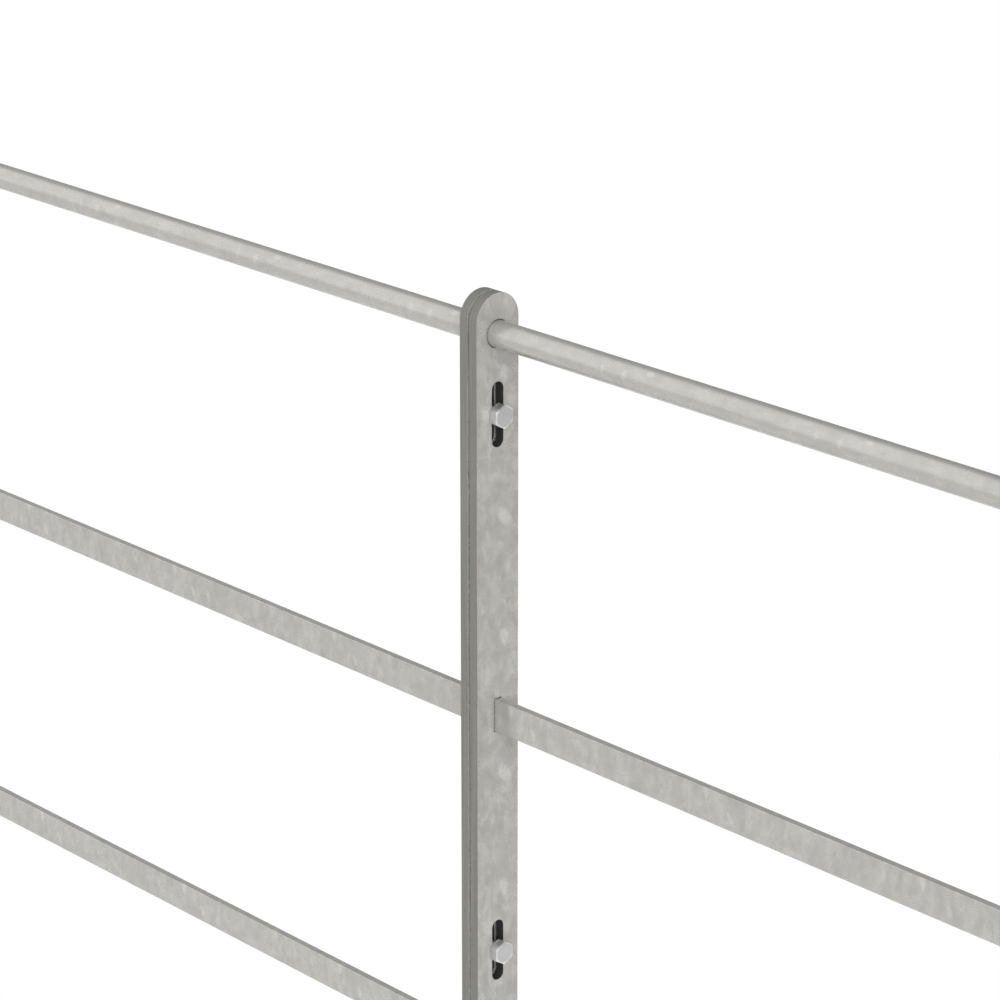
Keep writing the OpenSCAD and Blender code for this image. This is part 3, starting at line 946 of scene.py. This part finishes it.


# A wide white floor. The camera sees mostly its own white over a faint shadow. The light that it throws back
# onto the fence fades towards the right and the back. Its mirror image glows brightest near the joint, a
# painted pool of light that only reflections show.
def makeFloor():
    half = studio["floorHalf"]
    mesh = bpy.data.meshes.new("floor")
    corners = [(-half, -half, 0), (half, -half, 0), (half, half, 0), (-half, half, 0)]
    mesh.from_pydata(corners, [], [(0, 1, 2, 3)])
    floor = bpy.data.objects.new("floor", mesh)
    bpy.context.scene.collection.objects.link(floor)
    material, tree = newMaterial("floorWhite")
    place = put(tree, "ShaderNodeTexCoord").outputs["Object"]
    fade, pool = studio["floorFade"], studio["paintedFloorPool"]
    away = vectorNode(tree, "DOT_PRODUCT", place, fade["along"])
    faded = mapRange(tree, away, fade["from"], fade["to"], 1.0, fade["tone"])
    distance = vectorNode(tree, "LENGTH", place)
    paintedPoolLevel = mapRange(tree, distance, pool["from"], pool["to"], pool["near"], pool["far"])
    path = put(tree, "ShaderNodeLightPath")
    camera = path.outputs["Is Camera Ray"]
    tone = mathNode(tree, "MULTIPLY", mixValue(tree, camera, faded, 1.0), studio["floorWhite"])
    diffuse = put(tree, "ShaderNodeBsdfDiffuse", {"Color": tone})
    level = mixValue(tree, camera, mathNode(tree, "MULTIPLY", faded, paintedPoolLevel), studio["backdropWhite"])
    white = put(tree, "ShaderNodeEmission", {"Color": (1.0, 1.0, 1.0, 1.0), "Strength": level})
    seen = mathNode(tree, "ADD", camera, path.outputs["Is Glossy Ray"])
    seen = mathNode(tree, "ADD", seen, path.outputs["Is Transmission Ray"], clamp=True)
    lift = mathNode(tree, "MULTIPLY", seen, studio["floorLift"])
    mix = put(tree, "ShaderNodeMixShader", {0: lift, 1: diffuse.outputs[0], 2: white.outputs[0]})
    put(tree, "ShaderNodeOutputMaterial", {"Surface": mix.outputs[0]})
    mesh.materials.append(material)


# The room: plain white to the camera. Diffuse light comes mostly from the right front and less from above.
# Reflections show white too, with a brighter window on the upper left and two dim walls behind the fence.
def makeWorld():
    world = bpy.data.worlds.new("studioRoom")
    bpy.context.scene.world = world
    world.use_nodes = True
    tree = world.node_tree
    tree.nodes.clear()
    direction = put(tree, "ShaderNodeTexCoord").outputs["Generated"]

    def region(part, outside, inside):
        towards = tuple(Vector(part["direction"]).normalized())
        along = vectorNode(tree, "DOT_PRODUCT", direction, towards)
        return mapRange(tree, along, part["from"], part["to"], outside, inside)

    split = put(tree, "ShaderNodeSeparateXYZ", {0: direction})
    above = studio["above"]
    around = region(studio["softLight"], studio["aroundLevel"], studio["softLight"]["level"])
    fromAbove = mapRange(tree, split.outputs["Z"], above["from"], above["to"], 1.0, above["share"])
    around = mathNode(tree, "MULTIPLY", around, fromAbove)
    window = region(studio["window"], 0.0, studio["window"]["level"])
    mirrored = mathNode(tree, "ADD", studio["worldWhite"], window)
    for wall in ("dimWall", "dimRight"):
        mirrored = mathNode(tree, "MULTIPLY", mirrored, region(studio[wall], 1.0, studio[wall]["level"]))
    path = put(tree, "ShaderNodeLightPath")
    glossy, through = path.outputs["Is Glossy Ray"], path.outputs["Is Transmission Ray"]
    reflected = mathNode(tree, "ADD", glossy, through, clamp=True)
    level = mixValue(tree, reflected, around, mirrored)
    level = mixValue(tree, path.outputs["Is Camera Ray"], level, studio["worldWhite"])
    room = put(tree, "ShaderNodeBackground", {"Color": (1.0, 1.0, 1.0, 1.0), "Strength": level})
    put(tree, "ShaderNodeOutputWorld", {"Surface": room.outputs[0]})


photoCamera = {
    "place": (1.91209, -1.72062, 1.93579),
    "azimuth": 47.921,      # degrees that it is turned left from looking along +Y
    "down": 19.109,         # degrees that it looks down
    "lens": 136.62,
    "sensor": 36.0,
    "clip": (0.05, 200.0),
}


def makeCamera():
    shot = photoCamera
    azimuth, down = math.radians(shot["azimuth"]), math.radians(shot["down"])
    look = Vector((-math.sin(azimuth) * math.cos(down), math.cos(azimuth) * math.cos(down), -math.sin(down)))
    camera = bpy.data.cameras.new("photoCamera")
    camera.lens, camera.sensor_width = shot["lens"], shot["sensor"]
    camera.clip_start, camera.clip_end = shot["clip"]
    holder = bpy.data.objects.new("photoCamera", camera)
    holder.location = shot["place"]
    holder.rotation_mode = "QUATERNION"
    holder.rotation_quaternion = look.to_track_quat("-Z", "Y")
    bpy.context.scene.collection.objects.link(holder)
    bpy.context.scene.camera = holder


makeFloor()
makeWorld()
makeCamera()
bpy.context.scene.view_settings.view_transform = "Standard"
print("stage made")

bpy.context.view_layer.update()
